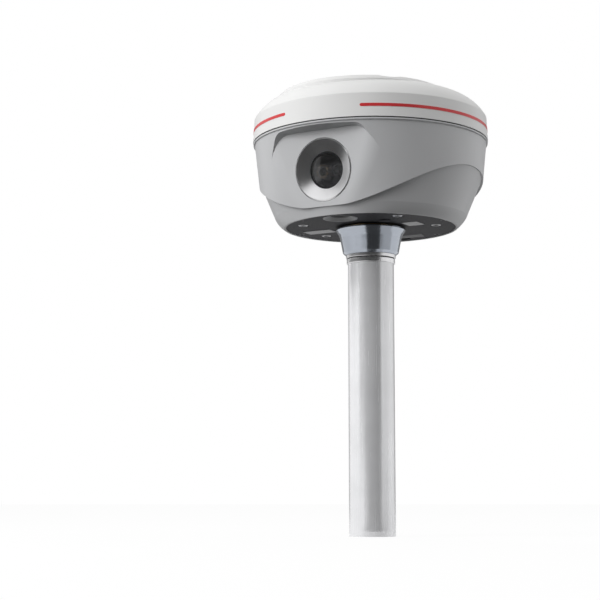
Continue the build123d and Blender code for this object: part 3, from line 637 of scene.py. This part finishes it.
def makeHexScrews(name, s):
    low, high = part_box(s["node"])
    rimOuter = s["head"] - s["edge"]
    outline = [
        (s["socket"], 0),
        (rimOuter, 0),
        (s["head"], s["edge"]),
        (s["head"], s["headTall"]),
        (s["shank"], s["headTall"]),
        (s["shank"], high[2] - low[2]),
    ]
    mesh = spunRound(outline, s["steps"])
    mouth = [
        corner
        for corner in mesh.verts
        if corner.co.z < s["edge"] / 2 and corner.co.xy.length < (s["socket"] + rimOuter) / 2
    ]
    # the round mouth becomes a hexagon
    sixth = radians(60)
    for corner in mouth:
        offset = atan2(corner.co.y, corner.co.x) % sixth - sixth / 2
        corner.co.xy *= cos(sixth / 2) / cos(offset)
    rim = [edge for edge in mesh.edges if all(corner in mouth for corner in edge.verts)]
    sunk = bmesh.ops.extrude_edge_only(mesh, edges=rim)["geom"]
    bmesh.ops.translate(mesh, verts=cornersOf(sunk), vec=(0, 0, s["deep"]))
    bmesh.ops.holes_fill(mesh, edges=mesh.edges, sides=0)
    single = mesh.verts[:] + mesh.edges[:] + mesh.faces[:]
    for azimuth, radius in s["points"]:
        copied = cornersOf(bmesh.ops.duplicate(mesh, geom=single)["geom"])
        bmesh.ops.translate(mesh, verts=copied, vec=compass(azimuth, radius, low[2]))
    bmesh.ops.delete(mesh, geom=cornersOf(single), context="VERTS")
    piece = newPiece(name, mesh, finishes[s["slot"]], "head")
    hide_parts(s["node"])


for name, settings in hexScrews.items():
    makeHexScrews(name, settings)

studThread = {
    "node": "adapter_stud",
    "slot": "screw_steel",
    "pitch": 0.0254 / 11,  # 5/8 inch, 11 turns to the inch
    "major": 0.0079375,
    "deep": 0.00142,
    "crest": 0.125,  # flats, as shares of the pitch
    "root": 0.25,
    "tip": 0.001,
    "steps": 48,
    "spareTurns": 3,  # cut off again at the ends
    "turnsBelow": 1.37,  # keeps the cuts away from the corners
    "joined": 6,  # turns are welded within the crest divided by this
}


def makeStudThread(s):
    low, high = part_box(s["node"])
    pitch, major, minor = s["pitch"], s["major"], s["major"] - s["deep"]
    root, crest = s["root"] * pitch, s["crest"] * pitch
    flank = (pitch - root - crest) / 2
    tooth = [
        (minor, 0),
        (minor, root),
        (major, root + flank),
        (major, root + flank + crest),
        (minor, pitch),
    ]
    mesh = bmesh.new()
    edgeLoop(mesh, tooth)
    turns = int((high[2] - low[2]) / pitch) + s["spareTurns"]
    bmesh.ops.spin(
        mesh,
        geom=mesh.verts[:] + mesh.edges[:],
        axis=(0, 0, 1),
        angle=radians(360 * turns),
        steps=s["steps"] * turns,
        dvec=(0, 0, pitch / s["steps"]),
    )
    bmesh.ops.remove_doubles(mesh, verts=mesh.verts, dist=crest / s["joined"])
    bmesh.ops.translate(mesh, verts=mesh.verts, vec=(0, 0, low[2] - s["turnsBelow"] * pitch))
    for height, way in ((low[2], -1), (high[2], 1)):
        bmesh.ops.bisect_plane(
            mesh,
            geom=mesh.verts[:] + mesh.edges[:] + mesh.faces[:],
            plane_co=(0, 0, height),
            plane_no=(0, 0, way),
            clear_outer=True,
        )
    bmesh.ops.holes_fill(mesh, edges=mesh.edges, sides=0)
    # chamfered tip
    for corner in mesh.verts:
        reach = major - s["tip"] + high[2] - corner.co.z
        if corner.co.xy.length > reach:
            corner.co.xy *= reach / corner.co.xy.length
    piece = newPiece("studThread", mesh, finishes[s["slot"]], "pole")
    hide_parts(s["node"])


makeStudThread(studThread)
print("pieces made")

studio = {
    "floorRadius": 8.0,
    "floorSides": 96,
    "floorRoughness": 0.9,
    "floorBounce": (0.09, 0.09, 0.09),
    "floorWhite": (1, 1, 1),
    "shadowShare": 0.08,
    "skyHigh": 0.82,
    "skyLow": 0.13,
    "skyFrom": -0.2,  # it brightens from this height to the next, on a unit sphere
    "skyTo": 0.8,
}
white = (1, 1, 1, 1)

aim = Vector((0, 0, 0.24))  # what the softboxes look at

softboxes = {
    "keyBox": {"azimuth": -31, "distance": 1.6, "height": 0.65, "size": (1.1, 0.9), "power": 20.8},
    "rimBox": {"azimuth": 136, "distance": 1.3, "height": 0.06, "size": (1.0, 0.6), "power": 9},
}

# cards that only reflections see, near is the share of a flat card's width at its near edge
cards = {
    "cameraCard": {
        "azimuth": 34,
        "distance": 0.9,
        "height": 0.46,
        "size": (1.6, 0.9),
        "tone": 0.06,
    },
    "windowCard": {
        "azimuth": -21,
        "distance": 1.0,
        "height": 0.42,
        "size": (0.47, 0.64),
        "tone": 0.16,
    },
    "tableCard": {
        "azimuth": 38,
        "distance": 0.49,
        "height": 0.003,
        "size": (0.9, 0.94),
        "flat": True,
        "near": 0.075,
        "tone": 0.07,
    },
    "sideCard": {
        "azimuth": 88,
        "distance": 1.9,
        "height": 0.002,
        "size": (3.4, 3.7),
        "flat": True,
        "near": 0.02,
        "tone": 0.66,
    },
    "backCard": {
        "azimuth": 208,
        "distance": 0.9,
        "height": 0.3,
        "size": (1.5, 0.9),
        "tone": 0.3,
    },
    "bezelCard": {
        "azimuth": -30,
        "distance": 0.165,
        "height": 0.2,
        "size": (0.5, 0.19),
        "flat": True,
        "tone": 0.05,
    },
}


def seenDirectly(tree):
    path = addNode(tree, "LightPath")
    seen = path.outputs["Is Camera Ray"]
    for ray in ("Is Glossy Ray", "Is Transmission Ray"):
        either = addNode(tree, "Math", operation="MAXIMUM")
        tree.links.new(seen, either.inputs[0])
        tree.links.new(path.outputs[ray], either.inputs[1])
        seen = either.outputs[0]
    return seen


def makeSky(s):
    world = bpy.data.worlds.new("studio")
    scene.world = world
    world.use_nodes = True
    tree = world.node_tree
    backdrop = tree.nodes["Background"]
    backdrop.inputs["Color"].default_value = white
    backdrop.inputs["Strength"].default_value = 1
    glow = addNode(tree, "Background", Color=white)
    coords = addNode(tree, "TexCoord")
    axes = addNode(tree, "SeparateXYZ")
    tree.links.new(coords.outputs["Generated"], axes.inputs["Vector"])
    rising = spread(tree, axes.outputs["Z"], s["skyLow"], s["skyHigh"], s["skyFrom"], s["skyTo"])
    tree.links.new(rising, glow.inputs["Strength"])
    choose = addNode(tree, "MixShader")
    tree.links.new(seenDirectly(tree), choose.inputs[0])
    tree.links.new(glow.outputs[0], choose.inputs[1])
    tree.links.new(backdrop.outputs[0], choose.inputs[2])
    tree.links.new(choose.outputs[0], tree.nodes["World Output"].inputs["Surface"])


def makeFloor(s):
    material, tree, shader = startMaterial(
        "paleFloor", s["floorBounce"], 0.0, s["floorRoughness"]
    )
    seen = seenDirectly(tree)
    colour = tinted(tree, seen, s["floorBounce"], s["floorWhite"])
    tree.links.new(colour, shader.inputs["Base Color"])
    glow = addNode(tree, "Emission", Color=white, Strength=1.0)
    share = addNode(tree, "Math", operation="MULTIPLY")
    share.inputs[1].default_value = 1 - s["shadowShare"]
    choose = addNode(tree, "MixShader")
    tree.links.new(seen, share.inputs[0])
    tree.links.new(share.outputs[0], choose.inputs[0])
    tree.links.new(shader.outputs[0], choose.inputs[1])
    tree.links.new(glow.outputs[0], choose.inputs[2])
    tree.links.new(choose.outputs[0], tree.nodes["Material Output"].inputs["Surface"])
    mesh = bmesh.new()
    bmesh.ops.create_circle(
        mesh, cap_ends=True, radius=s["floorRadius"], segments=s["floorSides"]
    )
    floor = newObject("floor", mesh, material)


def makeSoftbox(name, s):
    data = bpy.data.lights.new(name, "AREA")
    data.shape = "RECTANGLE"
    data.size, data.size_y = s["size"]
    data.energy = s["power"]
    lamp = bpy.data.objects.new(name, data)
    lamp.location = compass(s["azimuth"], s["distance"], s["height"])
    lamp.visible_camera = lamp.visible_glossy = False
    lamp.rotation_euler = (aim - lamp.location).to_track_quat("-Z", "Y").to_euler()
    scene.collection.objects.link(lamp)


def makeCard(name, s):
    mesh = bmesh.new()
    bmesh.ops.create_grid(mesh, x_segments=1, y_segments=1, size=0.5)
    bmesh.ops.scale(mesh, verts=mesh.verts, vec=(*s["size"], 1))
    nearEdge = [corner for corner in mesh.verts if corner.co.y > 0]
    bmesh.ops.scale(mesh, verts=nearEdge, vec=(s.get("near", 1), 1, 1))
    tipped = Matrix.Rotation(radians(0 if s.get("flat") else 90), 3, "X")
    turned = Matrix.Rotation(radians(s["azimuth"]), 3, "Z") @ tipped
    place = compass(s["azimuth"], s["distance"], s["height"])
    bmesh.ops.rotate(mesh, verts=mesh.verts, matrix=turned)
    bmesh.ops.translate(mesh, verts=mesh.verts, vec=place)
    material = bpy.data.materials.new(name)
    material.use_nodes = True
    tree = material.node_tree
    glow = addNode(tree, "Emission", Color=white, Strength=s["tone"])
    tree.links.new(glow.outputs[0], tree.nodes["Material Output"].inputs["Surface"])
    card = newObject(name, mesh, material)
    card.visible_camera = card.visible_transmission = False
    card.visible_diffuse = card.visible_shadow = False


makeSky(studio)
makeFloor(studio)
for name, settings in softboxes.items():
    makeSoftbox(name, settings)
for name, settings in cards.items():
    makeCard(name, settings)
print("studio lit")
